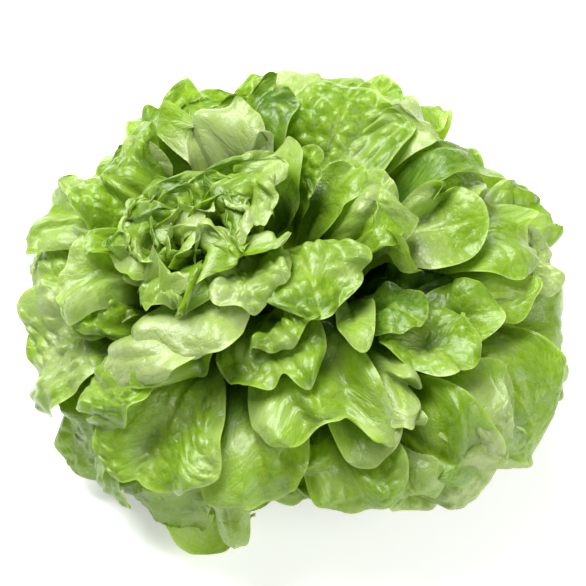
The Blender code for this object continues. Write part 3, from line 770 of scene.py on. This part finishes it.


# Colours of the leaves and the stem, with painted light and shade on the leaves, and the leaves' gloss
# painted shade, darkest deep in the hollows between the leaves
PAINTED_SHADE_GREEN = (0.014, 0.060, 0.001, 1)
DEEP_GREEN = (0.045, 0.125, 0.002, 1)
LEAF_GREEN = (0.165, 0.305, 0.001, 1)
PALE_GREEN = (0.330, 0.405, 0.165, 1)
VEIN_GREEN = (0.310, 0.440, 0.030, 1)
# paler rim, partly the margin's own colour and partly a painted highlight
RIM_AND_HIGHLIGHT_GREEN = (0.420, 0.540, 0.130, 1)
# painted highlight, paler on the tops of the blisters
BLISTER_HIGHLIGHT_GREEN = (0.240, 0.345, 0.030, 1)
STALK_CREAM = (0.480, 0.580, 0.200, 1)
GLOW_GREEN = (0.340, 0.590, 0.004, 1)
FLESH_CREAM = (0.78, 0.74, 0.54, 1)
FLESH_BROWN = (0.62, 0.50, 0.30, 1)
GLOW_SHARE = 0.6  # of the glow's green in the light that comes through
THROUGH_SHARE = 0.38  # of the light that comes through, against what the skin sends back
SKIN_GLOSS = {"IOR": 1.5, "Specular IOR Level": 0.30, "Coat Weight": 0.28, "Coat Roughness": 0.16}


def leaf_colour(n, small, net):
    """Green by tone, paler on veins, cream at the stalk; painted highlights on the tops of blisters and on
    the rim, which is also paler in its own colour; painted shade deep between the leaves.
    """
    tone = n.plus(n.times(n.attribute("tone"), 0.5), n.noise(n.place(), 38.0, 3.0))
    green = n.mix(n.ramp(tone, 0.15, 0.62), DEEP_GREEN, LEAF_GREEN)
    green = n.mix(n.ramp(tone, 0.45, 0.95), green, PALE_GREEN)
    green = n.mix(n.times(n.ramp(small, 0.35, 0.7), 0.22), green, PALE_GREEN)
    # painted highlight on the tops of the blisters
    green = n.mix(n.times(n.attribute("blister_highlight"), 0.35), green, BLISTER_HIGHLIGHT_GREEN)
    vein = n.plus(n.attribute("vein"), n.times(net, 0.22))
    green = n.mix(n.times(n.ramp(vein, 0.15, 1.0), 0.4), green, VEIN_GREEN)
    # paler rim: partly its own colour, partly a painted highlight
    green = n.mix(n.times(n.attribute("rim"), 0.6), green, RIM_AND_HIGHLIGHT_GREEN)
    green = n.mix(n.ramp(n.attribute("inward"), 0.1, 1.0), green, STALK_CREAM)
    # painted shade, where a point lies deep below the leaves round it
    return n.mix(n.times(n.attribute("hollow"), 0.85), green, PAINTED_SHADE_GREEN)


def leaf_relief(n, plan, small, net):
    """Grain, then the creases of small facets, then the net of the finest veins."""
    grain = n.bump(n.noise(plan, 1600.0, 3.0), 0.4, 0.0003)
    facets = n.bump(n.ramp(n.cell_edges(plan, 210.0), 0.0, 0.22), 0.3, 0.0006, Normal=grain)
    return n.bump(n.math("SUBTRACT", small, n.times(net, 0.5)), 0.35, 0.0006, Normal=facets)


def leaf_skin():
    """A thin, softly glossy leaf that lets some light through."""
    n = Nodes("leaf_skin")
    plan = n.uv("plan")
    small = n.noise(plan, 420.0, 4.0)
    net = n.math("SUBTRACT", 1.0, n.ramp(n.cell_edges(plan, 430.0), 0.0, 0.12))
    green = leaf_colour(n, small, net)
    relief = leaf_relief(n, plan, small, net)
    rough = n.plus(n.times(small, 0.24), 0.18)
    skin = n.add("ShaderNodeBsdfPrincipled", Base_Color=green, Roughness=rough, Normal=relief)
    for name, value in SKIN_GLOSS.items():
        skin.inputs[name].default_value = value
    glow = n.mix(GLOW_SHARE, green, GLOW_GREEN)
    through = n.add("ShaderNodeBsdfTranslucent", Color=glow, Normal=relief)
    both = n.add("ShaderNodeMixShader", i0=THROUGH_SHARE, i1=skin.outputs[0], i2=through.outputs[0])
    return n.surface(both)


def cut_flesh():
    """The stem's flesh, cream with browner spots."""
    n = Nodes("cut_flesh")
    spots = n.noise(n.place(), 260.0, 5.0)
    colour = n.mix(n.ramp(spots, 0.4, 0.75), FLESH_CREAM, FLESH_BROWN)
    relief = n.bump(spots, 0.4, 0.0006)
    return n.surface(n.add("ShaderNodeBsdfPrincipled", Base_Color=colour, Roughness=0.5, Normal=relief))


def leaf_groups():
    """(name, leaf, spacing) of the leaves on the surface, then of the others from the lowest up."""
    shown = {"inner": INNER_LEAVES, "front": FRONT_LEAVES, "left": LEFT_LEAVES, "back": BACK_LEAVES,
             "right": RIGHT_LEAVES, "between": BETWEEN_LEAVES, "skirt": skirt_leaves(),
             "heart": heart_leaves()}
    outer = [group for name, leaves in shown.items() for group in named(name, leaves, SHOWN_SPACING)]
    outer.sort(key=lambda group: RAISED_BY_LIFT * group[1].lift - group[1].polar)
    hidden = sorted(named("under", under_leaves(), HIDDEN_SPACING), key=lambda group: -group[1].polar)
    return named("ground", ground_leaves(), SHOWN_SPACING), hidden + outer


def named(name, leaves, spacing):
    """(name, leaf, spacing) of each leaf, numbered from 1."""
    return [(f"{name}_leaf_{i + 1:02d}", leaf, spacing) for i, leaf in enumerate(leaves)]


def dress():
    """Puts the leaves in place of the plain ones, and flesh on the stem."""
    skin = leaf_skin()
    ground, order = leaf_groups()
    for name, leaf, spacing in ground:
        sheet = leaf_sheet(leaf, spacing)
        sheet_object(name, sheet._replace(points=above_floor(sheet.points)), leaf.tone, skin)
    sheets = [leaf_sheet(leaf, spacing) for _, leaf, spacing in order]
    for (name, leaf, _), sheet in zip(order, lay_over(sheets, [spacing for *_, spacing in order])):
        # the tone, with painted light added on the lowest leaves
        sheet_object(name, sheet, leaf.tone + np.interp(leaf.polar, *TONE_AND_PAINTED_LIGHT_BY_POLAR), skin)
    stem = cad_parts["cut_stem"]
    stem.data.materials.clear()
    stem.data.materials.append(cut_flesh())


# Floor and light
FLOOR_HALF = 3.0
WHITE = (1, 1, 1, 1)
FLOOR_WHITE = (0.93, 0.93, 0.93, 1)
FLOOR_GLOW = 0.42
SKY_STRENGTH = 0.17
SOFT_LIGHTS = {  # place, side and power
    "window": ((-0.34, 0.30, 1.05), 0.8, 33),
    "sky": ((-0.12, 0.85, 0.95), 0.6, 9),
    "fill": ((0.85, -0.75, 0.6), 0.8, 14),
}


def white_floor():
    mesh = bpy.data.meshes.new("floor")
    corners = [(x * FLOOR_HALF, y * FLOOR_HALF, 0) for x, y in ((-1, -1), (1, -1), (1, 1), (-1, 1))]
    mesh.from_pydata(corners, [], [(0, 1, 2, 3)])
    floor = bpy.data.objects.new("floor", mesh)
    bpy.context.scene.collection.objects.link(floor)
    n = Nodes("floor_white")
    paper = n.add("ShaderNodeBsdfPrincipled", Base_Color=FLOOR_WHITE, Roughness=0.7)
    paper.inputs["Emission Color"].default_value = WHITE
    paper.inputs["Emission Strength"].default_value = FLOOR_GLOW
    mesh.materials.append(n.surface(paper))


def studio_light():
    world = bpy.data.worlds.new("studio")
    world.use_nodes = True
    background = world.node_tree.nodes["Background"]
    background.inputs["Color"].default_value = WHITE
    background.inputs["Strength"].default_value = SKY_STRENGTH
    bpy.context.scene.world = world
    for name, (place, side, power) in SOFT_LIGHTS.items():
        soft_light(name, Vector(place), side, power)


def soft_light(name, place, side, power):
    """A square lamp that faces the head."""
    data = bpy.data.lights.new(name, "AREA")
    data.size = side
    data.energy = power
    light = bpy.data.objects.new(name, data)
    light.location = place
    light.rotation_euler = (Vector(CROWN_CENTRE) - place).to_track_quat("-Z", "Y").to_euler()
    bpy.context.scene.collection.objects.link(light)


# Camera, matched to the photograph, which is square
PHOTO_PIXELS = 586
CAMERA_ELEVATION = math.radians(52)
CAMERA_DISTANCE = 1.15
PIXELS_PER_METRE = 1950.0  # at the crown's centre
CENTRE_PIXEL = (297, 300)
SENSOR_WIDTH = 36.0


def camera():
    """The camera of the photograph, in front of the head and above it."""
    data = bpy.data.cameras.new("camera")
    data.sensor_width = SENSOR_WIDTH
    data.lens = PIXELS_PER_METRE * CAMERA_DISTANCE / PHOTO_PIXELS * SENSOR_WIDTH
    data.shift_x = (PHOTO_PIXELS / 2 - CENTRE_PIXEL[0]) / PHOTO_PIXELS
    data.shift_y = (CENTRE_PIXEL[1] - PHOTO_PIXELS / 2) / PHOTO_PIXELS
    made = bpy.data.objects.new("camera", data)
    bpy.context.scene.collection.objects.link(made)
    back = Vector((0, -math.cos(CAMERA_ELEVATION), math.sin(CAMERA_ELEVATION)))
    made.location = Vector(CROWN_CENTRE) + back * CAMERA_DISTANCE
    made.rotation_euler = (-back).to_track_quat("-Z", "Y").to_euler()
    bpy.context.scene.camera = made
    bpy.context.scene.view_settings.view_transform = "Standard"


dress()
white_floor()
studio_light()
camera()
